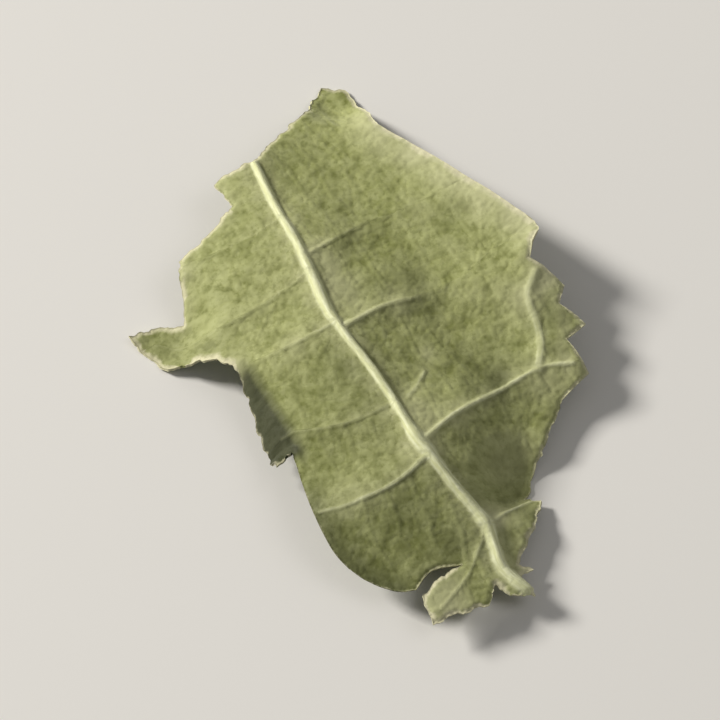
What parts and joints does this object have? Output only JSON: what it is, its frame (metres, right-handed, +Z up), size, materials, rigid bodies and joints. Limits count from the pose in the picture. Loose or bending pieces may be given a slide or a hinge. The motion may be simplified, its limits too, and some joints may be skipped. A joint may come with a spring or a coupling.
{
  "type": "dried linden leaf piece",
  "caption": "Torn piece of a dried linden leaf lying underside up, with raised veins, a toothed margin and torn edges.",
  "frame": {"origin": "middle of the leaf's box, on the surface that it lies on", "axes": "+Z up, out of the leaf's veined underside; -Y along the midrib towards the leaf's tip; +X to the toothed margin"},
  "size_m": [0.0186, 0.0282, 0.0035],
  "materials": {
    "dried_leaf": "matt, dry"
  },
  "bodies": {
    "root": {"linden_leaf": "dried_leaf"}
  },
  "joints": []
}
